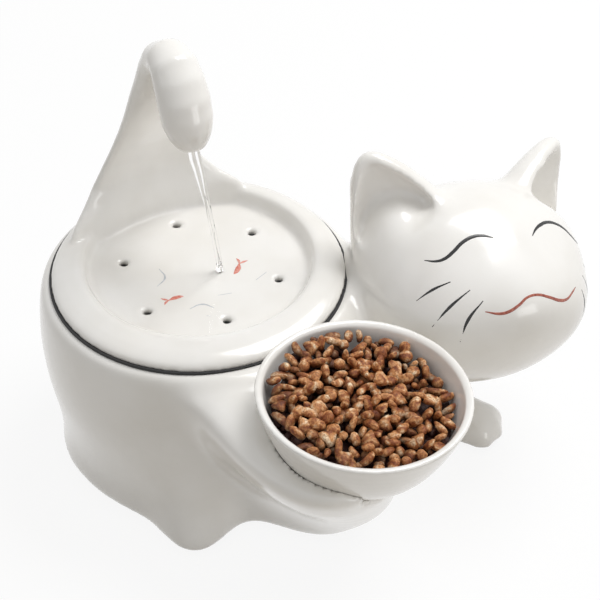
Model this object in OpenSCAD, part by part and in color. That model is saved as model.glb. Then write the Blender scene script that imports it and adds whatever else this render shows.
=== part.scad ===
// Cat-shaped pet water fountain with a lift-off fountain tray and a food bowl.
// X runs along the long side from basin to head, Y away from the viewer, Z up.
// The origin is on the floor, under the centre of the round basin.

/* [Basin] */
// Height of the basin's top edge above the floor
basin_height = 133; // [125:1:140]
// Widest radius of the basin wall
basin_radius = 96.5; // [94:0.5:100]
// Radius of the basin wall at the floor
basin_foot_radius = 88; // [83:0.5:89]
// Thickness of the fired ceramic walls
wall = 5.5; // [4.5:0.5:6.5]
// Thickness of the basin floor
floor_thickness = 7; // [6:0.5:9]
// Depth of the ledge that carries the tray
ledge_depth = 3.4; // [3:0.2:4]
// Width of the open seam round the tray
seam_gap = 1.5; // [1.2:0.1:1.6]
// Width of the ledge from the tray's edge to the round opening
ledge_width = 8.8; // [8.4:0.2:10]
// Reach of the hind foot from the basin's centre
hind_foot_reach = 111; // [104:1:114]
// Reach of the haunch that carries the food bowl
haunch_reach = 193; // [188:1:196]
// Reach of the chest under the head
chest_reach = 150; // [144:1:156]
// Width of the cord notch in the back of the rim
cord_notch_width = 10; // [8:0.5:12]
// Diameter of the vent between the chest and the head
vent_diameter = 3; // [2:0.5:3.5]

/* [Base pads] */
// Diameter of each rubber pad under the basin
pad_diameter = 12; // [10:0.5:14]
// Height of each rubber pad
pad_height = 1.8; // [1.6:0.1:2.4]
// Depth each pad is let into the ceramic
pad_seat = 0.3; // [0.2:0.1:0.5]

/* [Tray] */
// Outer radius of the tray's rim
tray_radius = 86.8; // [86:0.2:88]
// Height of the rim's crest above the basin's edge
crest_height = 6; // [5:0.5:8]
// Drop of the tray floor below the basin's edge
tray_floor_drop = 4; // [2:0.5:5]
// Thickness of the tray floor
tray_floor_thickness = 5; // [4.5:0.5:6]
// Width of the rim from the tray's edge to the sunk floor
rim_width = 18.8; // [17.8:0.5:20.8]
// Shift of the sunk floor towards the tail
recess_shift = 6; // [4:0.5:8]
// Depth of the locating skirt under the tray
skirt_depth = 12; // [10:0.5:14]
// Number of drain holes in the tray floor
drain_count = 6; // [5:1:8]
// Diameter of each drain hole
drain_diameter = 5.4; // [4:0.2:6]
// Radius of the ring of drain holes
drain_ring_radius = 47; // [42:0.5:50]
// Turn of the ring of drain holes
drain_turn = 51; // [0:0.5:59]
// Thickness of the seal ring between ledge and tray
seal_height = 1.2; // [1:0.1:1.6]

/* [Tail] */
// Direction of the tail seen from the basin's centre
tail_azimuth = 118.5; // [115:0.5:122]
// Height of the tail above the basin's edge
tail_height = 129.5; // [124:0.5:136]
// Sideways lean of the tail's hook
tail_lean = 2.5; // [0:0.5:4]
// Diameter of the water way in the tail
duct_diameter = 6.5; // [6:0.5:8]
// Outer diameter of the inlet spigot under the tail
spigot_diameter = 10; // [9:0.5:11]
// Distance of the spigot from the tray's edge
spigot_inset = 20.8; // [19.8:0.5:22.8]
// Length of the inlet spigot
spigot_length = 22; // [20:0.5:24]

/* [Food bowl] */
// Radius of the bowl's rim
bowl_rim_radius = 60; // [57:0.5:61]
// Radius of the bowl's foot
bowl_foot_radius = 30; // [28:0.5:33]
// Height of the bowl
bowl_height = 46; // [42:0.5:50]
// Thickness of the bowl's wall
bowl_wall = 4.2; // [3.5:0.1:5]
// Height of the bowl's seat above the floor
bowl_seat_height = 100; // [97:0.5:102]
// Place of the bowl along X
bowl_x = 92; // [90:0.5:94]
// Place of the bowl along Y
bowl_y = -117.5; // [-120:0.5:-116]
// Lean of the bowl away from the basin
bowl_tilt = 3.5; // [2:0.5:5]
// Gap between the bowl and its seat at the sides
bowl_gap = 0.4; // [0.3:0.1:0.8]

/* [Head] */
// Place of the head's centre along X
head_x = 161; // [158:0.5:164]
// Place of the head's centre along Y
head_y = 6; // [2:0.5:12]
// Height of the head's centre above the floor
head_z = 119.5; // [114:0.5:122]
// Half of the head's length from nape to nose
head_half_length = 60; // [55:0.5:62]
// Half of the head's width
head_half_width = 71; // [66:0.5:74]
// Half of the head's height
head_half_height = 60.5; // [56:0.5:64]
// Swell of the muzzle
muzzle = 11; // [8:0.5:14]
// Turn of the head to the side
head_yaw = -55; // [-60:1:-48]
// Lift of the face
head_pitch = 36; // [28:1:42]
// Lean of the head
head_roll = -16; // [-20:1:-10]
// Distance of the ear tips from the middle of the head
ear_spread = 68; // [60:0.5:70]
// Shift of both ears to the cat's right
ear_shift = 2.5; // [0:0.5:4]
// Height of the ear tips above the head's centre
ear_rise = 83; // [82:0.5:94]
// Width of each ear at its root
ear_width = 66; // [50:0.5:68]

/* [Front paws] */
// Length of the paws
paw_length = 50; // [40:0.5:54]
// Height of the paws
paw_height = 27; // [24:0.5:30]

/* [Pump] */
// Length of the pump housing
pump_length = 50; // [50:0.5:54]
// Width of the pump housing
pump_width = 34; // [32:0.5:38]
// Height of the pump housing
pump_height = 30; // [29:0.5:34]
// Wall of the pump housing
pump_wall = 2; // [1.6:0.1:2.4]
// Distance of the pump's middle from the basin's centre
pump_place = 22; // [20:0.5:24]
// Height of the suction cups under the pump
cup_height = 4; // [3:0.5:5]
// Diameter of the suction cups
cup_diameter = 10; // [8:0.5:11]
// Diameter of the rotor's shaft
shaft_diameter = 2.3; // [2:0.1:2.6]
// Running clearance round the shaft
shaft_clearance = 0.05; // [0.02:0.01:0.1]
// Diameter of the rotor magnet
magnet_diameter = 12.4; // [12:0.1:13]
// Length of the rotor magnet
magnet_length = 18; // [17:0.5:19]
// Diameter of the impeller
impeller_diameter = 21; // [19:0.5:22]
// Number of impeller blades
blade_count = 6; // [5:1:8]
// Outer diameter of the pump's nozzle
nozzle_diameter = 9; // [8:0.5:10]
// Length of the pump's nozzle
nozzle_length = 12; // [10:0.5:14]
// Outer diameter of the silicone tube
tube_diameter = 13.4; // [13:0.2:14]
// Play between the spigot and the tube
spigot_play = 0.35; // [0.3:0.05:0.45]

/* [Hidden] */
$fn = 72;
eps = 0.01;
columns = concat([for (a = [-90:3:36]) a], [for (a = [42:6:264]) a]);
hollow_columns = [for (a = [-88:6:266]) a];
tray_columns = [for (a = [1:6:355]) a];
base_z = pad_height - pad_seat;
mouth_radius = tray_radius - ledge_width;
recess_radius = tray_radius - rim_width;
spigot_radius = tray_radius - spigot_inset;
floor_z = base_z + floor_thickness;
ledge_z = basin_height - ledge_depth;
seam_radius = tray_radius + seam_gap;
tray_z = ledge_z + seal_height;
crest_z = basin_height + crest_height;
cord_notch_z = tray_z - skirt_depth - 0.2;
tray_floor_z = basin_height - tray_floor_drop;
skirt_radius = mouth_radius - 1.2;
pad_places = [[0, 0], [-68, 18], [4, -86], [20, 74], [82, -66], [120, 6]];
white = [0.93, 0.93, 0.91];
grey = [0.35, 0.36, 0.38];
clear = [0.82, 0.85, 0.86];

// ---------- shared curves and skins ----------

function slope_at(t, i, k) =
    let (a = max(i - 1, 0), b = min(i + 1, len(t) - 1))
    (t[b][k] - t[a][k]) / (t[b][0] - t[a][0]);
function row_of(t, x, i = 0) = (i >= len(t) - 2 || x < t[i + 1][0]) ? i : row_of(t, x, i + 1);
// Smooth value of column k of table t at x
function curve(t, x, k = 1) =
    x <= t[0][0] ? t[0][k] :
    x >= t[len(t) - 1][0] ? t[len(t) - 1][k] :
    let (i = row_of(t, x), h = t[i + 1][0] - t[i][0], u = (x - t[i][0]) / h)
    t[i][k] * (2 * u * u * u - 3 * u * u + 1) + t[i + 1][k] * (3 * u * u - 2 * u * u * u)
    + slope_at(t, i, k) * h * (u * u * u - 2 * u * u + u)
    + slope_at(t, i + 1, k) * h * (u * u * u - u * u);
function unit(v) = v / norm(v);
function turn_to(a, b) = let (d = (a - b) % 360) d > 180 ? d - 360 : d < -180 ? d + 360 : d;
// A hump of height 1 at azimuth c with half width w
function hump(a, c, w, p = 2) = exp(-pow(abs(turn_to(a, c)) / w, p));

// Closed surface from a first point through rings to a last point
module skin(first, rings, last) {
    n = len(rings[0]);
    m = len(rings);
    points = concat([first], [for (r = rings) each r], [last]);
    faces = concat(
        [for (j = [0:n - 1]) [0, 1 + j, 1 + (j + 1) % n]],
        [for (i = [0:m - 2], j = [0:n - 1])
            [1 + i * n + j, 1 + (i + 1) * n + (j + 1) % n, 1 + i * n + (j + 1) % n]],
        [for (i = [0:m - 2], j = [0:n - 1])
            [1 + i * n + j, 1 + (i + 1) * n + j, 1 + (i + 1) * n + (j + 1) % n]],
        [for (j = [0:n - 1]) [1 + (m - 1) * n + j, m * n + 1, 1 + (m - 1) * n + (j + 1) % n]]);
    polyhedron(points, faces, convexity = 10);
}

// Takes its children as one mesh, with no change of size
module one_mesh() {
    resize([0, 0, 0]) union() {
        children();
    }
}

// ---------- basin ----------

basin_profile = [[0, basin_foot_radius], [14, basin_foot_radius - 2],
    [30, basin_foot_radius - 0.8], [46, basin_foot_radius + 1.7], [72, basin_radius - 1.8],
    [98, basin_radius], [basin_height - 12, basin_radius - 1.8],
    [basin_height + 2, basin_radius - 4.5]];
// Height, azimuth, reach and half width of the lobes at each level
haunch_levels = [[0, -43, 0.63, 18], [20, -44, 0.72, 18], [45, -48, 0.81, 18],
    [70, -53, 0.88, 19.5], [95, -58, 0.95, 21], [108, -59, 0.98, 22], [117, -60, 1.0, 22],
    [121, -60, 0.98, 22], [124, -60, 0.8, 21], [128, -61, 0.5, 20]];
chest_levels = [[0, 0, 0.92, 23], [30, 1, 1.0, 25], [60, 1, 1.0, 25], [85, 0, 0.97, 24],
    [105, -1, 0.9, 22], [118, -2, 0.8, 20], [126, -2, 0.68, 18], [133, -2, 0.55, 16]];
foot_levels = [[0, 1, 13], [12, 0.96, 13], [30, 0.55, 14], [60, 0.2, 18], [95, 0, 20]];

function lobe(t, z, a, reach) =
    max(curve(t, z, 2) * reach - curve(basin_profile, z), 0)
    * hump(a, curve(t, z, 1), curve(t, z, 3), 2.8);
function foot_lobe(z, a) =
    (hind_foot_reach - basin_foot_radius) * curve(foot_levels, z, 1)
    * hump(a, -92, curve(foot_levels, z, 2))
    + 4 * curve(foot_levels, z, 1) * hump(a, 192, 22)
    + 9 * curve(foot_levels, z, 1) * hump(a, 118, 20);
function basin_reach(z, a) =
    let (h = lobe(haunch_levels, z, a, haunch_reach),
         c = lobe(chest_levels, z, a, chest_reach),
         f = foot_lobe(z, a))
    curve(basin_profile, z) + pow(pow(h, 3) + pow(c, 3) + pow(f, 3) + 0.001, 1 / 3);
function basin_ring(z, inset) =
    [for (a = columns) let (r = basin_reach(z, a) - inset) [r * cos(a), r * sin(a), z]];
function hollow_reach(z, a) =
    min(basin_reach(z, a), basin_reach(z + wall, a)) - wall * 1.15;
function hollow_limit(z, a) =
    let (low = basin_height - 42, k = min(max((z - low) / 12, 0), 1))
    hollow_reach(z, a) * (1 - k) + min(hollow_reach(z, a), curve(basin_profile, z) - wall * 1.15) * k;
function hollow_ring(z, inset = 0) =
    [for (a = hollow_columns) let (r = hollow_limit(z, a) - inset) [r * cos(a), r * sin(a), z]];

module basin_solid(grow = 0) {
    heights = [for (k = [0:9]) base_z + 6 + k * (basin_height - 24 - base_z) / 9];
    rings = concat(
        [basin_ring(base_z, 6 - grow), basin_ring(base_z + 0.6, 2.6 - grow),
         basin_ring(base_z + 2.4, 0.7 - grow)],
        [for (z = heights) basin_ring(z, -grow)],
        [basin_ring(basin_height - 12, -grow), basin_ring(basin_height - 8, -grow),
         basin_ring(basin_height - 5, 0.2 - grow), basin_ring(basin_height - 2.6, 0.9 - grow),
         basin_ring(basin_height - 1, 1.6 - grow), basin_ring(basin_height, 2.9 - grow)]);
    skin([0, 0, base_z], rings, [0, 0, basin_height]);
}

module basin_hollow() {
    span = basin_height - 17 - floor_z - 6;
    rings = concat(
        [hollow_ring(floor_z, 9), hollow_ring(floor_z + 1.5, 3.5), hollow_ring(floor_z + 5, 0.6)],
        [for (k = [1:6]) hollow_ring(floor_z + 6 + k * span / 6)]);
    skin([0, 0, floor_z], rings, [0, 0, basin_height - 11]);
}

module bowl_frame() {
    translate([bowl_x, bowl_y, bowl_seat_height])
        rotate([0, bowl_tilt, 0])
            children();
}

module basin() {
    color(white)
        one_mesh() difference() {
            basin_solid();
            basin_hollow();
            // mouth and ledge for the tray
            translate([0, 0, basin_height - 20])
                rotate([0, 0, 1.3])
                    cylinder(h = 40, r = mouth_radius, $fn = 90);
            translate([0, 0, ledge_z])
                rotate([0, 0, 1.3])
                    cylinder(h = 20, r = seam_radius, $fn = 100);
            // seat for the bowl
            bowl_frame()
                bowl_seat_cut();
            // notch for the cord
            translate([-cord_notch_width / 2, mouth_radius - 4, cord_notch_z])
                cube([cord_notch_width, 30, 30]);
            // vent into the head
            translate([chest_reach * 0.78, 2, basin_height - 50])
                cylinder(h = 60, d = vent_diameter, $fn = 16);
            base_pad_places(pad_height - pad_seat, pad_diameter + 0.4);
        }
}

module base_pad_places(z, d) {
    for (p = pad_places)
        translate([p[0], p[1], z - eps])
            cylinder(h = pad_seat + eps, d = d, $fn = 32);
}

module base_pads() {
    color(clear)
        for (p = pad_places)
            translate([p[0], p[1], 0])
                cylinder(h = pad_height, d = pad_diameter);
}

// ---------- tray and tail ----------

// Distance in from the tray's edge, height, width, thickness and hollow of the tail, root to tip
tail_stations = [
    [11.8, -0.05, 136, 22, 31], [11.5, 0.02, 124, 21, 25], [11.2, 0.08, 108, 19.5, 19],
    [10.8, 0.14, 89, 17.5, 12.5], [11.3, 0.22, 73, 15, 7.5], [14.3, 0.32, 59, 13.5, 5],
    [18.3, 0.42, 48, 13, 3.5], [22.8, 0.52, 40, 14, 2.5], [27.3, 0.62, 35, 15, 2],
    [31.3, 0.72, 30, 16, 1], [35.3, 0.815, 25, 17, 0.3], [39.6, 0.9, 23, 18, 0],
    [45, 0.965, 23, 19.5, 0], [52.5, 1, 25, 21, 0], [61, 0.985, 28, 22.5, 0],
    [67.5, 0.93, 30, 24, 0], [72.8, 0.855, 31, 26, 0], [76.4, 0.775, 30, 25, 0],
    [79.5, 0.715, 25, 21, 0], [81.6, 0.675, 18, 15.5, 0], [82.6, 0.655, 11.5, 10.5, 0]];
function tail_point(i) = [tray_radius - tail_stations[i][0], tail_stations[i][1] * tail_height];
function tail_side(i) = -tail_lean * pow(min(i / 13, 1), 2);
function tail_tangent(i) =
    unit(tail_point(min(i + 1, len(tail_stations) - 1)) - tail_point(max(i - 1, 0)));
function place_tail(s, w, h) =
    [s * cos(tail_azimuth) - w * sin(tail_azimuth),
     s * sin(tail_azimuth) + w * cos(tail_azimuth), basin_height + h];
function tail_ring(i) =
    let (p = tail_point(i), t = tail_tangent(i), q = tail_stations[i])
    [for (k = [0:23]) let (a = k * 15,
        n = -q[3] / 2 * sin(a) - q[4] * cos(a) * cos(a))
        place_tail(p[0] + t[1] * n, tail_side(i) + q[2] / 2 * cos(a), p[1] - t[0] * n)];
function duct_ring(s, h, t, d, sides = 12, side = 0) =
    [for (k = [0:sides - 1]) let (a = k * 360 / sides + 7, n = -d / 2 * sin(a))
        place_tail(s + t[1] * n, side + d / 2 * cos(a), h - t[0] * n)];

module tail_solid() {
    n = len(tail_stations);
    tip = tail_point(n - 1) + 0.6 * tail_tangent(n - 1);
    root = tail_point(0);
    skin(place_tail(root[0], 0, root[1] - 0.5), [for (i = [0:n - 1]) tail_ring(i)],
        place_tail(tip[0], -tail_lean, tip[1]));
}

module tail_duct() {
    n = len(tail_stations);
    low = tray_z - basin_height - spigot_length - 6;
    tip = tail_point(n - 1) + 9.3 * tail_tangent(n - 2);
    rings = concat(
        [duct_ring(spigot_radius, low, [0, 1], spigot_diameter - 3.6),
         duct_ring(spigot_radius, -13, [0, 1], spigot_diameter - 3.6),
         duct_ring(spigot_radius + 2, -8, unit([0.45, 1]), duct_diameter),
         duct_ring(spigot_radius + 6, -1.5, unit([0.5, 1]), duct_diameter),
         duct_ring(spigot_radius + 9, 7, unit([0.25, 1]), duct_diameter)],
        [for (i = [3:n - 2]) duct_ring(tail_point(i)[0], tail_point(i)[1], tail_tangent(i),
            duct_diameter, 12, tail_side(i))],
        [duct_ring(tip[0], tip[1], tail_tangent(n - 2), duct_diameter, 12, -tail_lean)]);
    skin(place_tail(spigot_radius, 0, low - 1), rings,
        place_tail(tip[0], -tail_lean, tip[1] - 0.5));
}

function recess_edge(a) =
    let (c = recess_shift, g = a - 90)
    c * cos(g) + sqrt(recess_radius * recess_radius - c * c * sin(g) * sin(g));
// One ring of the rim: part k of the way from the sunk floor's edge to the outside
function rim_ring(k, z) =
    [for (a = tray_columns) let (r = recess_edge(a) * (1 - k) + tray_radius * k)
        [r * cos(a), r * sin(a), z]];
function round_ring(r, z) = [for (a = tray_columns) [r * cos(a), r * sin(a), z]];

module tray_body() {
    low = tray_floor_z - tray_floor_thickness;
    rise = crest_z - tray_z;
    drop = crest_z - tray_floor_z;
    skin([0, 0, low], [
        round_ring(skirt_radius - 9, low),
        round_ring(skirt_radius - 4.5, low - 3), round_ring(skirt_radius - 4, tray_z - skirt_depth),
        round_ring(skirt_radius - 0.6, tray_z - skirt_depth), round_ring(skirt_radius, tray_z - skirt_depth + 1),
        round_ring(skirt_radius, tray_z), round_ring(tray_radius - 1, tray_z),
        round_ring(tray_radius, tray_z + 1), rim_ring(1, tray_z + rise * 0.28),
        rim_ring(0.985, tray_z + rise * 0.42), rim_ring(0.93, tray_z + rise * 0.58),
        rim_ring(0.82, tray_z + rise * 0.74), rim_ring(0.66, tray_z + rise * 0.87),
        rim_ring(0.48, tray_z + rise * 0.95), rim_ring(0.32, tray_z + rise * 0.99),
        rim_ring(0.2, crest_z), rim_ring(0.11, tray_floor_z + drop * 0.96),
        rim_ring(0.04, tray_floor_z + drop * 0.85), rim_ring(-0.02, tray_floor_z + drop * 0.66),
        rim_ring(-0.07, tray_floor_z + drop * 0.42), rim_ring(-0.13, tray_floor_z + drop * 0.21),
        rim_ring(-0.21, tray_floor_z + drop * 0.07), rim_ring(-0.34, tray_floor_z)],
        [0, 0, tray_floor_z]);
}

module tray() {
    color(white)
        one_mesh() difference() {
            union() {
                tray_body();
                // the tail keeps clear of the ledge
                difference() {
                    tail_solid();
                    translate([0, 0, tray_z - 39.5])
                        rotate([0, 0, 2])
                            difference() {
                                cylinder(h = 40, r = tray_radius + 20, $fn = 48);
                                translate([0, 0, -1])
                                    cylinder(h = 42, r = skirt_radius - 0.5, $fn = 64);
                            }
                }
                rotate([0, 0, tail_azimuth])
                    translate([spigot_radius, 0, tray_z - spigot_length])
                        cylinder(h = tray_floor_z - 1 - tray_z + spigot_length,
                            d = spigot_diameter, $fn = 32);
            }
            tail_duct();
            // way for the cord under the skirt
            translate([-cord_notch_width / 2, skirt_radius - 9, cord_notch_z - 2])
                cube([cord_notch_width, 12, tray_floor_z - tray_floor_thickness - cord_notch_z + 2.4]);
            for (k = [0:drain_count - 1])
                translate([1, 4.5, tray_floor_z - 20])
                    rotate([0, 0, drain_turn + k * 360 / drain_count])
                        translate([drain_ring_radius, 0, 0])
                            cylinder(h = 40, d = drain_diameter, $fn = 24);
        }
}

// Ring with an L section: under the tray's rim, and up its edge into the seam
module tray_seal() {
    color([0.08, 0.08, 0.09])
        rotate_extrude()
            polygon([[mouth_radius + 0.5, ledge_z], [seam_radius - 0.15, ledge_z],
                [seam_radius - 0.15, basin_height - 0.8], [tray_radius + 0.1, basin_height - 0.8],
                [tray_radius + 0.1, tray_z], [mouth_radius + 0.5, tray_z]]);
}

// ---------- food bowl ----------

function bowl_outside(z) =
    bowl_foot_radius + (bowl_rim_radius - bowl_foot_radius) * pow(max(z, 0) / bowl_height, 0.46);
bowl_rows = 12;

module bowl_profile() {
    outside = [for (k = [1:bowl_rows]) let (z = (bowl_height - 1.2) * pow(k / bowl_rows, 1.5))
        [bowl_outside(z), z]];
    floor_top = bowl_wall + 2;
    inside = [for (k = [bowl_rows:-1:1])
        let (z = floor_top + (bowl_height - 1.4 - floor_top) * pow(k / bowl_rows, 1.5))
        [bowl_outside(z - 1.2) - bowl_wall, z]];
    polygon(concat([[0, 2], [bowl_foot_radius - 5, 2], [bowl_foot_radius - 4, 0],
        [bowl_foot_radius - 0.8, 0], [bowl_foot_radius, 0.6]], outside,
        [[bowl_rim_radius - 0.9, bowl_height - 0.2], [bowl_rim_radius - 2, bowl_height],
         [bowl_rim_radius - 3.2, bowl_height - 0.3]], inside, [[0, floor_top]]));
}

module food_bowl() {
    color(white)
        bowl_frame()
            rotate_extrude()
                bowl_profile();
}

// Space cut out of the haunch for the bowl
module bowl_seat_cut() {
    rows = [for (k = [0:10]) let (z = bowl_height * pow(k / 10, 1.5))
        [bowl_outside(z + bowl_gap) + bowl_gap, z]];
    rotate_extrude($fn = 96)
        polygon(concat([[0, 0]], rows, [[bowl_rim_radius + 8, bowl_height + 30],
            [0, bowl_height + 30]]));
}

// ---------- head ----------

module head_frame() {
    translate([head_x, head_y, head_z])
        rotate([0, 0, head_yaw])
            rotate([0, -head_pitch, 0])
                rotate([head_roll, 0, 0])
                    children();
}

function head_reach(lon, lat, inset = 0) =
    let (d = [cos(lat) * cos(lon), cos(lat) * sin(lon), sin(lat)],
         q = pow(abs(d[0]) / head_half_length, 2.15) + pow(abs(d[1]) / head_half_width, 2.15)
             + pow(abs(d[2]) / head_half_height, 2.15))
    pow(q, -1 / 2.15)
    + muzzle * exp(-pow(lon / 31, 2) - pow((lat + 14) / 22, 2))
    + 3.5 * exp(-pow((abs(lon) - 52) / 26, 2) - pow((lat + 22) / 20, 2))
    - 2.2 * exp(-pow((abs(lon) - 30) / 16, 2) - pow((lat - 18) / 14, 2))
    - inset;
function head_ring(lat, step, inset = 0) =
    [for (lon = [-180:step:180 - step]) let (r = head_reach(lon, lat, inset))
        [r * cos(lat) * cos(lon), r * cos(lat) * sin(lon), r * sin(lat)]];

module head_solid() {
    skin([0, 0, -head_reach(0, -90)], [for (lat = [-82.5:7.5:82.5]) head_ring(lat, 7.5)],
        [0, 0, head_reach(0, 90)]);
}

// The head's form, smaller by inset all round
module head_inside(inset) {
    skin([0, 0, -head_reach(0, -90, inset)],
        [for (lat = [-75:15:75]) head_ring(lat, 15, inset)], [0, 0, head_reach(0, 90, inset)]);
}

// Part up the ear, width, thickness
ear_rows = [[-0.25, 1.04, 0.66], [0, 1, 0.62], [0.2, 0.93, 0.56], [0.4, 0.81, 0.47],
    [0.6, 0.64, 0.37], [0.76, 0.47, 0.29], [0.89, 0.3, 0.22], [0.97, 0.16, 0.15]];

// An ear on side s; hollow pares it down and moves it forward
module ear_solid(s, hollow = 0) {
    root = [4, s * (ear_spread - 24) - ear_shift, ear_rise - 46];
    tip = [12, s * ear_spread - ear_shift, ear_rise];
    e = unit(tip - root);
    out = unit([0.8, s * 0.6, 0]);
    f = unit(out - (out * e) * e);
    w = cross(f, e);
    length = norm(tip - root);
    rings = [for (q = ear_rows) let (
        c = root + e * length * q[0] * (hollow > 0 ? 0.9 : 1) + f * hollow * 1.25,
        a = max(ear_width * q[1] / 2 - hollow * 1.1, 1.2),
        b = max(ear_width * q[2] / 2 - hollow * 0.55, 1.2))
        [for (k = [0:19]) c + w * a * cos(k * 18) * s + f * b * sin(k * 18) * s]];
    top = root + e * length * (hollow > 0 ? 0.9 : 1) + f * hollow * 1.25;
    bottom = root - e * length * 0.27 + f * hollow * 1.25;
    skin(bottom, rings, top);
}

module neck_solid() {
    translate([head_x - 42, head_y + 4, head_z])
        scale([30, 46, 58])
            sphere(r = 1, $fn = 26);
}

module head() {
    color(white)
        one_mesh() difference() {
            union() {
                head_frame() {
                    difference() {
                        union() {
                            head_solid();
                            ear_solid(1);
                            ear_solid(-1);
                        }
                        // hollow of each ear, down to the skin of the head
                        difference() {
                            union() {
                                ear_solid(1, 5);
                                ear_solid(-1, 5);
                            }
                            head_inside(wall - 2.3);
                        }
                    }
                }
                neck_solid();
            }
            head_frame()
                head_inside(wall);
            basin_solid(-0.1);
            translate([0, 0, ledge_z])
                cylinder(h = 200, r = seam_radius + 1.2, $fn = 80);
            translate([0, 0, floor_z])
                cylinder(h = basin_height - floor_z, r = mouth_radius + 6, $fn = 60);
        }
}

// ---------- front paws ----------

module paw(size = 1) {
    scale([paw_length / 2, 17, paw_height] * size)
        sphere(r = 1, $fn = 24);
    for (k = [-1:1])
        rotate([0, 0, k * 7 * size])
            translate([(paw_length * 0.37 - 2.5 * abs(k)) * size, k * 8.6 * size, 0])
                scale([paw_length * 0.22, 6.9, paw_height * 0.72] * size)
                    sphere(r = 1, $fn = 20);
}

module front_paws() {
    color(white)
        one_mesh() difference() {
            union() {
                translate([163, 0, base_z])
                    rotate([0, 0, -24])
                        paw();
                translate([120, -22, base_z])
                    rotate([0, 0, -24])
                        paw(0.85);
            }
            translate([0, -100, base_z - 60])
                cube([300, 200, 60]);
            basin_solid(-0.05);
            translate([0, 0, base_z])
                cylinder(h = basin_height, r = mouth_radius);
        }
}

// ---------- pump ----------

pump_z = floor_z + cup_height;
axis_z = pump_height / 2 - 1;
back_x = -pump_length / 2;
front_x = pump_length / 2;
well_front = front_x - 12;
well_back = well_front - magnet_length - 5;
well_radius = magnet_diameter / 2 + 0.5;
well_outside = well_radius + 1.2;
chamber_radius = impeller_diameter / 2 + 1.5;
chamber_depth = 6;
cover_radius = chamber_radius + 0.75;
play = 0.3;
nozzle_x = well_front + chamber_depth / 2;
nozzle_top = pump_height + nozzle_length;

module pump_frame() {
    rotate([0, 0, tail_azimuth])
        translate([pump_place, 0, pump_z])
            children();
}

module along_x(x, length, d) {
    translate([x, 0, axis_z])
        rotate([0, 90, 0])
            cylinder(h = length, d = d);
}

module pump_housing() {
    color(grey)
        pump_frame()
            difference() {
                union() {
                    translate([back_x, -pump_width / 2, 0])
                        cube([pump_length - 5, pump_width, pump_height]);
                    translate([nozzle_x, 0, pump_height - eps])
                        cylinder(h = nozzle_length + eps, d = nozzle_diameter);
                }
                // room for the coil and core, open at the back
                difference() {
                    translate([back_x - 1, -pump_width / 2 + pump_wall, pump_wall])
                        cube([well_front - back_x - 1, pump_width - 2 * pump_wall,
                            pump_height - 2 * pump_wall]);
                    along_x(well_back, magnet_length + 5, 2 * well_outside);
                }
                // rotor well, impeller chamber, seat of the cover and water way
                along_x(well_front - magnet_length - 3.4, magnet_length + 5, 2 * well_radius);
                along_x(well_front, 20, 2 * chamber_radius);
                along_x(well_front + chamber_depth, 20, 2 * cover_radius);
                translate([nozzle_x, 0, axis_z])
                    cylinder(h = pump_height + nozzle_length, d = nozzle_diameter - 3.6);
            }
}

module pump_back_plate() {
    color(grey)
        pump_frame()
            difference() {
                translate([back_x, -pump_width / 2 + pump_wall, pump_wall])
                    cube([3, pump_width - 2 * pump_wall, pump_height - 2 * pump_wall]);
                translate([back_x - 1, 0, pump_height * 0.72])
                    rotate([0, 90, 0])
                        cylinder(h = 5, d = 5);
            }
}

module cord_gland() {
    color([0.08, 0.08, 0.09])
        pump_frame()
            translate([back_x, 0, pump_height * 0.72])
                rotate([0, 90, 0]) {
                    cylinder(h = 3.2, d = 5);
                    translate([0, 0, -6])
                        cylinder(h = 6, d1 = 5.6, d2 = 8);
                }
}

// Laminated core: two legs beside the rotor well and a yoke behind it
leg_inside = well_outside + 0.3;
leg_outside = pump_width / 2 - pump_wall;
yoke_x = well_back - 9;
yoke_depth = 6;
yoke_height = 8;
module stator_core() {
    color([0.6, 0.61, 0.63])
        pump_frame()
            translate([0, 0, axis_z]) {
                for (s = [-1, 1])
                    translate([yoke_x, s > 0 ? leg_inside : -leg_outside, -6.5])
                        cube([well_front - 4 - yoke_x, leg_outside - leg_inside, 13]);
                translate([yoke_x, -leg_inside - eps, -yoke_height / 2])
                    cube([yoke_depth, 2 * leg_inside + 2 * eps, yoke_height]);
            }
}

module round_yoke(x, z, y) {
    translate([yoke_x + yoke_depth / 2 - x / 2, -y / 2, -z / 2])
        cube([x, y, z]);
}

module coil_bobbin() {
    color([0.9, 0.9, 0.86])
        pump_frame()
            translate([0, 0, axis_z])
                difference() {
                    union() {
                        round_yoke(yoke_depth + 2, yoke_height + 2, 2 * leg_inside - 1);
                        for (s = [-1, 1])
                            translate([0, s * (leg_inside - 1), 0])
                                round_yoke(11, 18, 1);
                    }
                    round_yoke(yoke_depth, yoke_height, 40);
                }
}

module stator_coil() {
    color([0.72, 0.38, 0.18])
        pump_frame()
            translate([0, 0, axis_z])
                difference() {
                    round_yoke(10.4, 17, 2 * leg_inside - 3);
                    round_yoke(yoke_depth + 2, yoke_height + 2, 40);
                }
}

shaft_back = well_front - magnet_length - 3.4;
shaft_length = magnet_length + 3.4 + chamber_depth + 2;
module rotor_shaft() {
    color([0.95, 0.95, 0.93])
        pump_frame()
            along_x(shaft_back, shaft_length, shaft_diameter);
}

module bush(x) {
    difference() {
        along_x(x, 2, 5);
        along_x(x - 1, 4, shaft_diameter);
    }
}

module shaft_bushes() {
    color([0.1, 0.1, 0.1])
        pump_frame() {
            bush(shaft_back);
            bush(well_front + chamber_depth);
        }
}

module rotor_magnet() {
    color([0.2, 0.2, 0.22])
        pump_frame()
            difference() {
                along_x(well_front + play - magnet_length, magnet_length, magnet_diameter);
                along_x(well_front - magnet_length - 2, magnet_length + 4,
                    shaft_diameter + 2 * shaft_clearance);
            }
}

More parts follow.
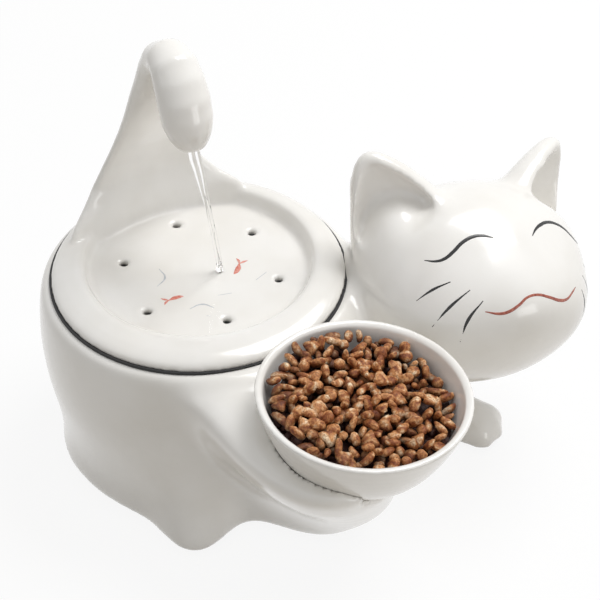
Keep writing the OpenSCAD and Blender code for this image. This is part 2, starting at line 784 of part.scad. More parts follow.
module impeller() {
    color([0.86, 0.87, 0.88])
        pump_frame()
            translate([well_front + play, 0, axis_z])
                rotate([0, 90, 0])
                    difference() {
                        union() {
                            cylinder(h = 1.2, d = impeller_diameter - 4);
                            cylinder(h = 5, d = 6);
                            for (k = [0:blade_count - 1])
                                rotate([0, 0, k * 360 / blade_count])
                                    translate([2, -0.5, 0.6])
                                        cube([impeller_diameter / 2 - 2.1, 1, 4.2]);
                        }
                        translate([0, 0, -1])
                            cylinder(h = 9, d = shaft_diameter + 2 * shaft_clearance);
                    }
}

module volute_cover() {
    color(grey)
        pump_frame()
            difference() {
                along_x(well_front + chamber_depth, 2, 2 * cover_radius - 0.06);
                along_x(well_front + chamber_depth - 1, 4, 5);
                for (k = [0:3])
                    translate([well_front + chamber_depth - 1, 0, axis_z])
                        rotate([45 + k * 90, 0, 0])
                            translate([0, 0, 5])
                                rotate([0, 90, 0])
                                    cylinder(h = 4, d = 4);
            }
}

cover_x = front_x - 5;
slide_low = pump_height - 9;
slide_height = 5;
slide_width = 12.5;
slide_y = -pump_width / 2 + pump_wall + 0.5;
regulator_travel = 6;
module intake_cover() {
    color(grey)
        pump_frame()
            difference() {
                union() {
                    difference() {
                        translate([cover_x, -pump_width / 2, 0])
                            cube([5, pump_width, pump_height]);
                        translate([cover_x - 1, -pump_width / 2 + pump_wall, pump_wall])
                            cube([4, pump_width - 2 * pump_wall, pump_height - 2 * pump_wall]);
                    }
                    // rails over and under the flow slide
                    for (z = [slide_low - 0.9, slide_low + slide_height + 0.1])
                        translate([cover_x + 1.5, -pump_width / 2 + pump_wall - 0.5, z])
                            cube([2, pump_width - 2 * pump_wall + 1, 0.8]);
                }
                for (k = [-2:2])
                    translate([cover_x + 2, k * 5 - 1.2, 4])
                        cube([8, 2.4, pump_height - 15]);
                // room for the rim of the volute cover
                along_x(cover_x - 1, 2.2, 2 * cover_radius + 0.2);
                // slot for the knob and the window that the slide opens
                translate([cover_x + 2.5, slide_y + slide_width - 5.1, slide_low + 0.9])
                    cube([3, 3.2 + regulator_travel, 3.2]);
                translate([cover_x + 2.5, slide_y + 0.6, slide_low + 0.8])
                    cube([3, 5, 3.4]);
            }
}

module flow_regulator() {
    color([0.15, 0.3, 0.55])
        pump_frame()
            translate([cover_x + 1.6, slide_y, slide_low]) {
                cube([1.3, slide_width, slide_height]);
                translate([1, slide_width - 5, 1])
                    cube([4, 3, 3]);
            }
}

module suction_cups() {
    color(clear)
        pump_frame()
            for (x = [-15, 11], y = [-11, 11])
                translate([x, y, -cup_height])
                    cylinder(h = cup_height, d1 = cup_diameter, d2 = 5);
}

module intake_sponge() {
    color([0.25, 0.26, 0.28])
        pump_frame()
            difference() {
                translate([cover_x + 1, -pump_width / 2 - 4, -2])
                    cube([15, pump_width + 8, pump_height]);
                translate([cover_x, -pump_width / 2, -3])
                    cube([7.5, pump_width, pump_height + 4]);
            }
}

// ---------- tube from pump to tail ----------

nozzle_radius = pump_place + nozzle_x;
tube_low = pump_z + pump_height + 1 - basin_height;
tube_high = tray_z - skirt_depth - 1 - basin_height;
tube_bore = spigot_diameter + 2 * spigot_play;
bend_low = tube_low + nozzle_length;
bend_high = tube_high - spigot_length + skirt_depth - 4;
bend_shift = spigot_radius - nozzle_radius;
// Part of the way up the double bend, and its lean there
function bend_place(u) = [nozzle_radius + bend_shift * (3 * u * u - 2 * u * u * u),
    bend_low + (bend_high - bend_low) * u];
function bend_lean(u) = unit([bend_shift * (6 * u - 6 * u * u), bend_high - bend_low]);
function pipe_rings(d) =
    [for (u = [0:0.125:1]) duct_ring(bend_place(u)[0], bend_place(u)[1], bend_lean(u), d, 24)];

module pipe_skin(low, high, d_low, d) {
    skin(place_tail(nozzle_radius, 0, low), concat(
        [duct_ring(nozzle_radius, low, [0, 1], d_low, 24),
         duct_ring(nozzle_radius, bend_low - 1, [0, 1], d_low, 24)],
        pipe_rings(d),
        [duct_ring(spigot_radius, high, [0, 1], d, 24)]), place_tail(spigot_radius, 0, high));
}

module outlet_tube() {
    color(clear)
        one_mesh() difference() {
            pipe_skin(tube_low, tube_high, tube_diameter, tube_diameter);
            // bore, whose flats clear the round nozzle
            pipe_skin(tube_low - 1, tube_high + 1, (nozzle_diameter + 0.05) / cos(180 / 24), tube_bore);
        }
}

// ---------- assembly ----------

basin();
head();
front_paws();
tray();
food_bowl();
tray_seal();
base_pads();
pump_housing();
pump_back_plate();
stator_core();
coil_bobbin();
stator_coil();
rotor_shaft();
shaft_bushes();
rotor_magnet();
impeller();
volute_cover();
intake_cover();
flow_regulator();
suction_cups();
outlet_tube();
intake_sponge();
cord_gland();
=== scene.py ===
"""Cat-shaped pet water fountain: glaze, painted lines, pump finishes, kibble, water and studio."""

import math
import random

import bpy
from mathutils import Matrix, Vector, noise as fractal
from mathutils.bvhtree import BVHTree


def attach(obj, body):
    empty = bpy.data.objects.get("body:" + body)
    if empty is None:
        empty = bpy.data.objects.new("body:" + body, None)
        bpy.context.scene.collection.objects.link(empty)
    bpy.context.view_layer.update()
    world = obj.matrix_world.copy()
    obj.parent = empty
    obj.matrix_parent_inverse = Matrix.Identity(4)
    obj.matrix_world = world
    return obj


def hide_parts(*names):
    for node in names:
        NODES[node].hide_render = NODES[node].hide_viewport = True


bl_info = {
    "name": "Cat Water Fountain",
    "version": (1, 0, 0),
    "blender": (4, 5, 0),
    "location": "View3D > Sidebar > Fountain",
    "description": "Dresses the CAD frame of a cat-shaped pet water fountain",
    "category": "Object",
}

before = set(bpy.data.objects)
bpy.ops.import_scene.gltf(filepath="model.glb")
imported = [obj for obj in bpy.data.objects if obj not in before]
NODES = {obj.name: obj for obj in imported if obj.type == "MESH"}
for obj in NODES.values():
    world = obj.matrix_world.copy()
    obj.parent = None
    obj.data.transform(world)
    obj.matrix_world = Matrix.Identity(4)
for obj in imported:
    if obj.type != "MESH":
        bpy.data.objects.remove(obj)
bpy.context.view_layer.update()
MM = 0.001

# Head: centre, turn to the side, lift of the face and lean, as in the CAD
HEAD_CENTRE = Vector((0.161, 0.006, 0.1195))
HEAD_TURN = (
    Matrix.Rotation(math.radians(-55), 3, "Z")
    @ Matrix.Rotation(math.radians(-36), 3, "Y")
    @ Matrix.Rotation(math.radians(-16), 3, "X")
)
# Bowl: middle of its foot, and the lean of its axis
BOWL_FOOT = Vector((0.092, -0.1175, 0.100))
BOWL_TILT = Matrix.Rotation(math.radians(3.5), 3, "Y")
BOWL_PLACE = Matrix.Translation(BOWL_FOOT) @ BOWL_TILT.to_4x4()
# Thinnest part of the bowl's seat, from the bowl's foot, and the half sizes of the slip behind it
SEAT_BACKING = Vector((-0.021, 0.0285, -0.0026))
SEAT_BACKING_SIZE = (0.017, 0.017, 0.0032)
# The seat's lip is ground to the bowl up to this height, from this far off, to this gap
LIP_TOP = 0.146
LIP_REACH = 0.0021
LIP_GAP = 0.00035
# Plain flanks: below this height, behind this x and this far clear of the bowl
FLANK_TOP = 0.116
FLANK_END = 0.115
FLANK_CLEAR = 0.014
# Reach of the fillet between head and chest, and height where the tray's rim turns into the tail
FILLET_REACH = 0.009
TAIL_FOOT = 0.155
TRAY_FLOOR = 0.129
# Film of water on the tray's floor: radius, shift of its middle, and corners of the disc it starts from
FILM_RADIUS = 0.0655
FILM_SHIFT = 0.006
FILM_SIDES = 24
WATER_IOR = 1.333
# Lean of the heap's surface, and the level of its top measured along that; shade is painted into the kibble
# below that level
HEAP_LEAN = (0.17, -0.06, 1.0)
HEAP_LEVEL = 0.1645
# Camera: place, angle below the level, and lens
CAMERA_PLACE = (0.0600, -0.8305, 0.8316)
CAMERA_DIP = 41
CAMERA_LENS = 110
# What the lamps point at
STUDIO_MIDDLE = (0.07, -0.04, 0.11)

# Painted lines of the face: degrees round and up from the nose, and share of the full width
EYE_LEFT = [(-54.1, 14.1, 0.25), (-48.2, 13.4, 0.7), (-44.2, 14.4, 0.9), (-39.6, 17.9, 1.0),
            (-34.4, 22.8, 1.0), (-27.7, 26.0, 1.0), (-21.7, 26.2, 0.8), (-15.9, 24.5, 0.25)]
EYE_RIGHT = [(10.7, 23.1, 0.25), (15.6, 26.5, 0.7), (22.6, 28.9, 1.0), (31.1, 29.5, 1.0),
             (39.0, 27.4, 1.0), (45.0, 23.9, 1.0), (50.5, 18.5, 0.9), (56.0, 14.5, 0.7),
             (61.0, 13.5, 0.25)]
WHISKERS = [
    [(-58.6, -4.8, 0.2), (-50.5, -0.4, 0.8), (-41.6, 2.7, 0.3)],
    [(-52.6, -17.5, 0.2), (-42.7, -9.0, 0.9), (-32.5, -2.1, 0.3)],
    [(-40.4, -27.4, 0.2), (-34.8, -16.1, 1.0), (-26.8, -7.8, 0.3)],
    [(71.0, -4.8, 0.2), (63.0, -0.4, 0.8), (54.0, 2.7, 0.3)],
    [(65.0, -17.5, 0.2), (55.0, -9.0, 0.9), (45.5, -2.1, 0.3)],
    [(53.0, -27.4, 0.2), (47.5, -16.1, 1.0), (41.0, -8.8, 0.3)],
]
MOUTH = [(-26.3, -13.0, 0.3), (-19.2, -14.6, 0.9), (-14.8, -14.0, 1.0), (-9.7, -11.4, 0.9),
         (-4.9, -8.2, 0.8), (0.6, -7.6, 0.8), (7.9, -9.5, 0.9), (15.5, -11.8, 1.0),
         (22.6, -11.9, 0.9), (28.9, -9.1, 0.8), (33.0, -7.0, 0.3)]


# ---------- small tools ----------

def linear(code):
    """sRGB hex such as F1F0EC as a linear colour with alpha."""
    values = [int(code[i:i + 2], 16) / 255 for i in (0, 2, 4)]
    return tuple(v / 12.92 if v <= 0.04045 else ((v + 0.055) / 1.055) ** 2.4 for v in values) + (1.0,)


def deselect():
    bpy.ops.object.select_all(action="DESELECT")


def pick(*objs):
    deselect()
    for o in objs:
        o.select_set(True)
    bpy.context.view_layer.objects.active = objs[0]


def apply_modifier(obj, kind, **settings):
    pick(obj)
    modifier = obj.modifiers.new(kind.title(), kind)
    for key, value in settings.items():
        setattr(modifier, key, value)
    bpy.ops.object.modifier_apply(modifier=modifier.name)


def add_node(tree, kind, inputs=None, stops=(), **settings):
    """One shader node with its settings. An input is a value, or the socket that it is linked from.

    A colour ramp's stops are pairs of place and sRGB hex."""
    node = tree.nodes.new(kind)
    for key, value in settings.items():
        setattr(node, key, value)
    for key, value in (inputs or {}).items():
        if isinstance(value, bpy.types.NodeSocket):
            tree.links.new(value, node.inputs[key])
        else:
            node.inputs[key].default_value = value
    for _ in stops[2:]:
        node.color_ramp.elements.new(1.0)
    for i, (place, code) in enumerate(stops):
        node.color_ramp.elements[i].position = place
        node.color_ramp.elements[i].color = linear(code)
    return node


def per_mm(size):
    """Scale of a pattern whose features are about size millimetres across."""
    return 1 / (size * MM)


def empty_tree(host):
    """Node tree of a new material or world, with nothing in it yet."""
    host.use_nodes = True
    host.node_tree.nodes.clear()
    return host.node_tree


def start_material(name):
    """New material, its empty tree and its Object coordinates."""
    mat = bpy.data.materials.new(name)
    tree = empty_tree(mat)
    return mat, tree, add_node(tree, "ShaderNodeTexCoord").outputs["Object"]


def finish_material(tree, inputs):
    """Closes a material with the Principled shader that its patterns feed."""
    bsdf = add_node(tree, "ShaderNodeBsdfPrincipled", inputs)
    add_node(tree, "ShaderNodeOutputMaterial", {"Surface": bsdf.outputs[0]})


def set_material(obj, mat):
    obj.data.materials.clear()
    obj.data.materials.append(mat)


def surface_of(obj):
    """Search tree of a finished mesh."""
    return BVHTree.FromPolygons([v.co[:] for v in obj.data.vertices],
                                [p.vertices[:] for p in obj.data.polygons])


def bezier_rod(name, knots, bevel, steps, sides):
    """Capped rod through (point, radius as a share of the bevel), as a mesh."""
    deselect()
    bpy.ops.curve.primitive_bezier_curve_add(location=(0, 0, 0))
    rod = bpy.context.object
    rod.name = name
    spline = rod.data.splines[0]
    spline.bezier_points.add(len(knots) - 2)
    for knot, (place, radius) in zip(spline.bezier_points, knots):
        knot.co = place
        knot.radius = radius
        knot.handle_left_type = knot.handle_right_type = "AUTO"
    rod.data.dimensions = "3D"
    rod.data.resolution_u = steps
    rod.data.bevel_depth = bevel
    rod.data.bevel_resolution = sides
    rod.data.use_fill_caps = True
    pick(rod)
    bpy.ops.object.convert(target="MESH")
    return bpy.context.object


# ---------- materials ----------

def porcelain_glaze(look):
    """White slip-cast porcelain under a clear fired glaze: deep gloss, faint waves, a hint of warmth."""
    mat, tree, place = start_material("glazed_porcelain")
    cloud = add_node(tree, "ShaderNodeTexNoise", {"Vector": place, "Scale": per_mm(45), "Detail": 3})
    white = add_node(tree, "ShaderNodeValToRGB", {"Fac": cloud.outputs["Fac"]},
                     [(0.3, look.shade_hex), (0.62, look.white_hex)])
    # Iron specks of about 0.4 mm, one in a while, as fired clay shows
    specks = add_node(tree, "ShaderNodeTexVoronoi", {"Vector": place, "Scale": per_mm(9)})
    spot = add_node(tree, "ShaderNodeValToRGB", {"Fac": specks.outputs["Distance"]},
                    [(0.012, "FFFFFF"), (0.03, "000000")])
    colour = add_node(tree, "ShaderNodeMix", {0: spot.outputs["Color"], 6: white.outputs["Color"],
                                              7: linear("D9D4CA")}, data_type="RGBA")
    # The glaze runs into waves of about 14 mm that bend its reflections
    wave = add_node(tree, "ShaderNodeTexNoise", {"Vector": place, "Scale": per_mm(14), "Detail": 1})
    run = add_node(tree, "ShaderNodeBump", {"Height": wave.outputs["Fac"], "Distance": 0.35 * MM,
                                            "Strength": 0.35})
    finish_material(tree, {"Base Color": colour.outputs[2], "Normal": run.outputs["Normal"],
                           "Roughness": 0.22, "IOR": 1.5, "Coat Weight": 0.55, "Coat Roughness": 0.08,
                           "Coat IOR": 1.5})
    return mat


def grained(name, stops, tone, grain, relief, shader):
    """Plain finish whose colour drifts a little and whose surface has a fine grain.

    tone and grain are the size in mm and the detail of a noise, relief is a depth in mm and a strength."""
    mat, tree, place = start_material(name)
    drift, grit = [add_node(tree, "ShaderNodeTexNoise", {"Vector": place, "Scale": per_mm(size),
                                                         "Detail": detail}) for size, detail in (tone, grain)]
    colour = add_node(tree, "ShaderNodeValToRGB", {"Fac": drift.outputs["Fac"]}, stops)
    rough = add_node(tree, "ShaderNodeBump", {"Height": grit.outputs["Fac"], "Distance": relief[0] * MM,
                                              "Strength": relief[1]})
    finish_material(tree, {"Base Color": colour.outputs["Color"], "Normal": rough.outputs["Normal"],
                           **shader})
    return mat


def painted_line(name, code, thin_code):
    """Ceramic underglaze colour put on by brush: thin where the brush lifts, under the same clear gloss."""
    return grained(name, [(0.35, code), (0.8, thin_code)], (1.6, 3), (1.2, 2), (0.05, 0.4),
                   {"Roughness": 0.25, "IOR": 1.5, "Coat Weight": 0.2, "Coat Roughness": 0.08})


def silicone(name, code):
    """Moulded silicone rubber: milky, soft sheen, very fine moulded grain."""
    return grained(name, [(0.3, code), (0.8, "EDF0F0")], (8, 2), (0.5, 2), (0.04, 0.5),
                   {"Roughness": 0.42, "IOR": 1.41, "Subsurface Weight": 0.15,
                    "Subsurface Radius": (0.003, 0.003, 0.003)})


def moulded_plastic(name, code, worn_code, roughness=0.38):
    """Injection-moulded plastic: even colour, fine spark-eroded texture of about 0.4 mm."""
    return grained(name, [(0.35, code), (0.85, worn_code)], (12, 4), (0.4, 3), (0.04, 0.6),
                   {"Roughness": roughness, "IOR": 1.46})


def sintered(name, code, light_code, roughness, grain_mm):
    """Pressed or cured material, such as alumina, ferrite or black rubber: fine grain, little shine."""
    return grained(name, [(0.35, code), (0.75, light_code)], (grain_mm, 5), (grain_mm, 3), (0.03, 0.5),
                   {"Roughness": roughness, "IOR": 1.6})


def striped(name, pitch_mm, direction, distortion, stops, relief, shader):
    """Metal in even stripes of one pitch, such as stacked sheets or wound wire."""
    mat, tree, place = start_material(name)
    # A wave texture runs through 20 / 2 pi bands in each unit of its scale
    bands = add_node(tree, "ShaderNodeTexWave",
                     {"Vector": place, "Scale": per_mm(pitch_mm) / 20 * 2 * math.pi,
                      "Distortion": distortion},
                     wave_type="BANDS", bands_direction=direction)
    colour = add_node(tree, "ShaderNodeValToRGB", {"Fac": bands.outputs["Fac"]}, stops)
    ridge = add_node(tree, "ShaderNodeBump", {"Height": bands.outputs["Fac"], "Distance": relief[0] * MM,
                                              "Strength": relief[1]})
    finish_material(tree, {"Base Color": colour.outputs["Color"], "Normal": ridge.outputs["Normal"],
                           **shader})
    return mat


def laminated_steel():
    """Electrical steel sheets of 0.5 mm in a stack: bright edges with dark lines between the sheets."""
    return striped("laminated_steel", 0.5, "Z", 0.3, [(0.1, "5C5E61"), (0.6, "A9ABAE")], (0.06, 0.5),
                   {"Roughness": 0.38, "Metallic": 1.0})


def enamelled_copper():
    """Winding of enamelled copper wire, 0.4 mm pitch: amber lacquer over metal, one turn beside the next."""
    return striped("enamelled_copper", 0.4, "DIAGONAL", 0.6, [(0.05, "6E3012"), (0.6, "C4702F")],
                   (0.15, 0.8), {"Roughness": 0.3, "Metallic": 0.9})


def reticulated_foam():
    """Open-cell polyurethane filter foam: pores of about 1.5 mm with thin struts, with painted shade in the
    pores.
    """
    mat, tree, place = start_material("reticulated_foam")
    cells = add_node(tree, "ShaderNodeTexVoronoi", {"Vector": place, "Scale": per_mm(1.5)},
                     feature="DISTANCE_TO_EDGE").outputs["Distance"]
    # Painted shade: the middles of the pores are near-black, as shade falls into the open cells; the struts
    # keep the foam's dark grey
    colour = add_node(tree, "ShaderNodeValToRGB", {"Fac": cells}, [(0.04, "3A3D42"), (0.3, "0C0D0F")])
    pores = add_node(tree, "ShaderNodeBump", {"Height": cells, "Distance": 0.7 * MM, "Strength": 1.0})
    finish_material(tree, {"Base Color": colour.outputs["Color"], "Normal": pores.outputs["Normal"],
                           "Roughness": 0.9, "IOR": 1.4})
    return mat


def baked_kibble(name, codes):
    """Extruded and oven-dried cat food: golden brown crust, darker in its pits, rough and porous, with
    painted shade that darkens the heap below its top.
    """
    mat, tree, place = start_material(name)
    tone, grit, crumb, lump = [
        add_node(tree, "ShaderNodeTexNoise", {"Vector": place, "Scale": per_mm(size), "Detail": detail,
                                              "Distortion": distortion}).outputs["Fac"]
        for size, detail, distortion in ((5, 5, 0.6), (1.1, 2, 0), (0.8, 4, 0), (2.6, 2, 0))]
    crust = add_node(tree, "ShaderNodeValToRGB", {"Fac": tone}, list(zip((0.3, 0.43, 0.55, 0.7), codes)))
    # Grains of about 1 mm stand out of the crust
    grains = add_node(tree, "ShaderNodeValToRGB", {"Fac": grit}, [(0.36, "B39A86"), (0.58, "FFFFFF")])
    grained_crust = add_node(tree, "ShaderNodeMix", {0: 0.8, 6: crust.outputs["Color"],
                                                     7: grains.outputs["Color"]},
                             data_type="RGBA", blend_type="MULTIPLY")
    # Painted shade between the pieces: the heap is darker and redder below its top, where shade falls deep in
    # the gaps
    level = add_node(tree, "ShaderNodeVectorMath", {0: place, 1: HEAP_LEAN}, operation="DOT_PRODUCT")
    depth = add_node(tree, "ShaderNodeMapRange", {"Value": level.outputs["Value"],
                                                  "From Min": HEAP_LEVEL - 0.005,
                                                  "From Max": HEAP_LEVEL + 0.0015})
    # 330D02 is the painted shade colour deep in the heap
    colour = add_node(tree, "ShaderNodeMix", {0: depth.outputs["Result"], 6: linear("330D02"),
                                              7: grained_crust.outputs[2]}, data_type="RGBA")
    pits = add_node(tree, "ShaderNodeBump", {"Height": crumb, "Distance": 0.4 * MM, "Strength": 0.9})
    lumps = add_node(tree, "ShaderNodeBump", {"Height": lump, "Distance": 0.6 * MM, "Strength": 0.7,
                                              "Normal": pits.outputs["Normal"]})
    finish_material(tree, {"Base Color": colour.outputs[2], "Normal": lumps.outputs["Normal"],
                           "Roughness": 0.55, "IOR": 1.45})
    return mat


def clear_water():
    """Falling water: colourless and fully clear, pulled into fine lengthwise folds."""
    mat, tree, place = start_material("falling_water")
    folds = add_node(tree, "ShaderNodeTexNoise", {"Vector": place, "Scale": per_mm(4), "Detail": 2})
    relief = add_node(tree, "ShaderNodeBump", {"Height": folds.outputs["Fac"], "Distance": 0.3 * MM,
                                               "Strength": 0.5})
    finish_material(tree, {"Base Color": linear("FFFFFF"), "Normal": relief.outputs["Normal"],
                           "Roughness": 0.02, "IOR": WATER_IOR, "Transmission Weight": 1.0})
    return mat


def water_film():
    """Thin film of water over the white glaze: clear, with only the room's reflection on its ripples."""
    mat, tree, place = start_material("water_film")
    # Slow swell of about 12 mm between the ripples that the mesh carries
    swell = add_node(tree, "ShaderNodeTexNoise", {"Vector": place, "Scale": per_mm(12), "Detail": 2})
    drift = add_node(tree, "ShaderNodeBump", {"Height": swell.outputs["Fac"], "Distance": 0.3 * MM,
                                              "Strength": 0.3}).outputs["Normal"]
    share = add_node(tree, "ShaderNodeFresnel", {"IOR": WATER_IOR, "Normal": drift})
    # The white floor below swamps most of the mirror, as wet glaze does under a wide soft light
    little = add_node(tree, "ShaderNodeMath", {0: share.outputs[0], 1: 0.4}, operation="MULTIPLY")
    clear = add_node(tree, "ShaderNodeBsdfTransparent", {"Color": linear("FFFFFF")})
    mirror = add_node(tree, "ShaderNodeBsdfGlossy", {"Roughness": 0.03, "Normal": drift})
    both = add_node(tree, "ShaderNodeMixShader", {0: little.outputs[0], 1: clear.outputs[0],
                                                  2: mirror.outputs[0]})
    add_node(tree, "ShaderNodeOutputMaterial", {"Surface": both.outputs[0]})
    return mat


# ---------- settings ----------

class GlazeSettings(bpy.types.PropertyGroup):
    white_hex: bpy.props.StringProperty(
        name="Glaze white", description="Colour of the fired white glaze, as sRGB hex", default="F5F3EF")
    shade_hex: bpy.props.StringProperty(
        name="Glaze shade", description="Colour where the glaze lies thicker, as sRGB hex", default="EEEBE5")
    body_voxel: bpy.props.FloatProperty(
        name="Body mesh size", description="Edge length of the mesh on the ceramic body",
        default=0.00215, min=0.001, max=0.004, unit="LENGTH")
    tray_voxel: bpy.props.FloatProperty(
        name="Tray mesh size", description="Edge length of the mesh on the tray and bowl",
        default=0.0012, min=0.0008, max=0.003, unit="LENGTH")
    smoothing: bpy.props.IntProperty(
        name="Smoothing", description="Rounds of smoothing that turn the CAD facets into one cast skin",
        default=24, min=0, max=60)


class PaintSettings(bpy.types.PropertyGroup):
    black_hex: bpy.props.StringProperty(
        name="Line black", description="Colour of the eyes and whiskers, as sRGB hex", default="0B0B0D")
    mouth_hex: bpy.props.StringProperty(
        name="Mouth red", description="Colour of the mouth line, as sRGB hex", default="8E3A2A")
    line_width: bpy.props.FloatProperty(
        name="Line width", description="Full width of the brushed lines", default=0.0021,
        min=0.0006, max=0.003, unit="LENGTH")
    line_height: bpy.props.FloatProperty(
        name="Line height", description="How far a painted line stands above the glaze",
        default=0.00015, min=0.00005, max=0.0005, unit="LENGTH")


class KibbleSettings(bpy.types.PropertyGroup):
    count: bpy.props.IntProperty(
        name="Pieces", description="Number of kibble pieces in the bowl", default=720, min=50, max=900)
    size: bpy.props.FloatProperty(
        name="Piece size", description="Width of one kibble piece", default=0.0088, min=0.005, max=0.014,
        unit="LENGTH")
    seed: bpy.props.IntProperty(
        name="Seed", description="Seed of the way the pieces lie", default=7)


class StudioSettings(bpy.types.PropertyGroup):
    floor_hex: bpy.props.StringProperty(
        name="Floor", description="Colour of the floor and backdrop, as sRGB hex", default="FFFFFF")
    key_power: bpy.props.FloatProperty(
        name="Key light", description="Power of the soft light from the upper right", default=13.5,
        min=0, unit="POWER")
    fill_power: bpy.props.FloatProperty(
        name="Fill light", description="Power of the weak light from the left", default=0.7, min=0,
        unit="POWER")
    side_power: bpy.props.FloatProperty(
        name="Side light", description="Power of the low light from the right", default=1.6, min=0,
        unit="POWER")
    world_strength: bpy.props.FloatProperty(
        name="Room light", description="Strength of the even light from all round", default=0.44, min=0)


GROUPS = {"fountain_glaze": GlazeSettings, "fountain_paint": PaintSettings,
          "fountain_kibble": KibbleSettings, "fountain_studio": StudioSettings}


# ---------- ceramic ----------

def smooth_skin(piece, rounds, where=None):
    """Rounds of smoothing that keep a mesh's size, all over or where a test of a point holds."""
    if where:
        pick(piece)
        for v in piece.data.vertices:
            v.select = where(v.co)
    bpy.ops.object.mode_set(mode="EDIT")
    if not where:
        bpy.ops.mesh.select_all(action="SELECT")
    for _ in range(rounds):
        bpy.ops.mesh.vertices_smooth(factor=0.5, repeat=1)
        bpy.ops.mesh.vertices_smooth(factor=-0.52, repeat=1)
    bpy.ops.object.mode_set(mode="OBJECT")


def cast(name, nodes, voxel, rounds, body, glaze, extra=()):
    """One smooth casting over copies of CAD nodes and any extra pieces.

    They are joined, meshed evenly and smoothed without shrinking."""
    copies = list(extra)
    for n in nodes:
        copy = bpy.data.objects.new(name, NODES[n].data.copy())
        bpy.context.scene.collection.objects.link(copy)
        copies.append(copy)
    pick(*copies)
    if len(copies) > 1:
        bpy.ops.object.join()
    piece = copies[0]
    piece.name = name
    bpy.ops.object.mode_set(mode="EDIT")
    bpy.ops.mesh.select_all(action="SELECT")
    bpy.ops.mesh.remove_doubles(threshold=1e-6)
    bpy.ops.object.mode_set(mode="OBJECT")
    apply_modifier(piece, "REMESH", mode="VOXEL", voxel_size=voxel, use_smooth_shade=True)
    smooth_skin(piece, rounds)
    bpy.ops.object.shade_smooth()
    set_material(piece, glaze)
    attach(piece, body)
    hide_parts(*nodes)
    return piece


class FOUNTAIN_OT_body(bpy.types.Operator):
    """Casts basin, head and front paws as one glazed body"""
    bl_idname = "fountain.body"
    bl_label = "Ceramic body"

    def execute(self, context):
        look = context.scene.fountain_glaze
        # Slip gathers behind the thinnest part of the bowl's seat, so the even mesh keeps it closed
        deselect()
        bpy.ops.mesh.primitive_uv_sphere_add(segments=32, ring_count=16, radius=1)
        backing = context.object
        backing.data.transform(BOWL_PLACE @ Matrix.Translation(SEAT_BACKING)
                               @ Matrix.Diagonal((*SEAT_BACKING_SIZE, 1)))
        body = cast("ceramic_body", ["basin", "head", "front_paws"], look.body_voxel, look.smoothing,
                    "basin_body", porcelain_glaze(look), [backing])
        # The luted joint between head and chest is wiped into a soft fillet
        trees = [surface_of(NODES[n]) for n in ("basin", "head")]
        pick(body)
        for v in body.data.vertices:
            near = [t.find_nearest(v.co)[3] for t in trees]
            v.select = max(near) < FILLET_REACH
        bpy.ops.object.mode_set(mode="EDIT")
        bpy.ops.mesh.vertices_smooth(factor=0.5, repeat=30)
        bpy.ops.object.mode_set(mode="OBJECT")
        # The plain flanks are sponged smoother than the rim, the paws and the ears
        bowl = surface_of(NODES["food_bowl"])
        smooth_skin(body, 50, lambda p: (p.z < FLANK_TOP and p.x < FLANK_END
                                         and bowl.find_nearest(p)[3] > FLANK_CLEAR))
        # The seat's lip is ground to the bowl, so only a hair-line stays between them
        for v in body.data.vertices:
            foot, normal, _, gap = bowl.find_nearest(v.co)
            if gap < LIP_REACH and v.co.z < LIP_TOP:
                v.co = foot + normal * LIP_GAP
        return {"FINISHED"}


class FOUNTAIN_OT_tray(bpy.types.Operator):
    """Casts the drinking tray with its tail spout"""
    bl_idname = "fountain.tray"
    bl_label = "Tray and tail"

    def execute(self, context):
        look = context.scene.fountain_glaze
        tray = cast("drinking_tray", ["tray"], look.tray_voxel, look.smoothing + 16, "tray_body",
                    bpy.data.materials["glazed_porcelain"])
        smooth_skin(tray, 90, lambda p: p.z > TAIL_FOOT)
        return {"FINISHED"}


class FOUNTAIN_OT_bowl(bpy.types.Operator):
    """Casts the food bowl"""
    bl_idname = "fountain.bowl"
    bl_label = "Food bowl"

    def execute(self, context):
        look = context.scene.fountain_glaze
        cast("feeding_bowl", ["food_bowl"], look.tray_voxel * 0.8, 6, "bowl_body",
             bpy.data.materials["glazed_porcelain"])
        return {"FINISHED"}


# ---------- painted lines ----------

def brush_line(name, points, width, height, tree, mat, body):
    """A brushed line through (point, share of width) on a surface, pressed flat on to it."""
    line = bezier_rod(name, points, width / 2, 10, 3)
    for v in line.data.vertices:
        foot, normal, _, _ = tree.find_nearest(v.co)
        above = (v.co - foot).dot(normal)
        v.co = foot + normal * (above / (width / 2) * height)
    bpy.ops.object.mode_set(mode="EDIT")
    bpy.ops.mesh.select_all(action="SELECT")
    bpy.ops.mesh.remove_doubles(threshold=1e-6)
    bpy.ops.mesh.normals_make_consistent(inside=False)
    bpy.ops.object.mode_set(mode="OBJECT")
    bpy.ops.object.shade_smooth()
    set_material(line, mat)
    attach(line, body)
    return line


def on_face(tree, lon, lat):
    """Point of the head's surface in a direction given round and up from the nose."""
    a, b = math.radians(lon), math.radians(lat)
    out = HEAD_TURN @ Vector((math.cos(b) * math.cos(a), math.cos(b) * math.sin(a), math.sin(b)))
    hit = tree.ray_cast(HEAD_CENTRE + out * 0.13, -out)[0]
    if hit is None:
        raise RuntimeError(f"no surface under the line at {lon}, {lat}")
    return hit


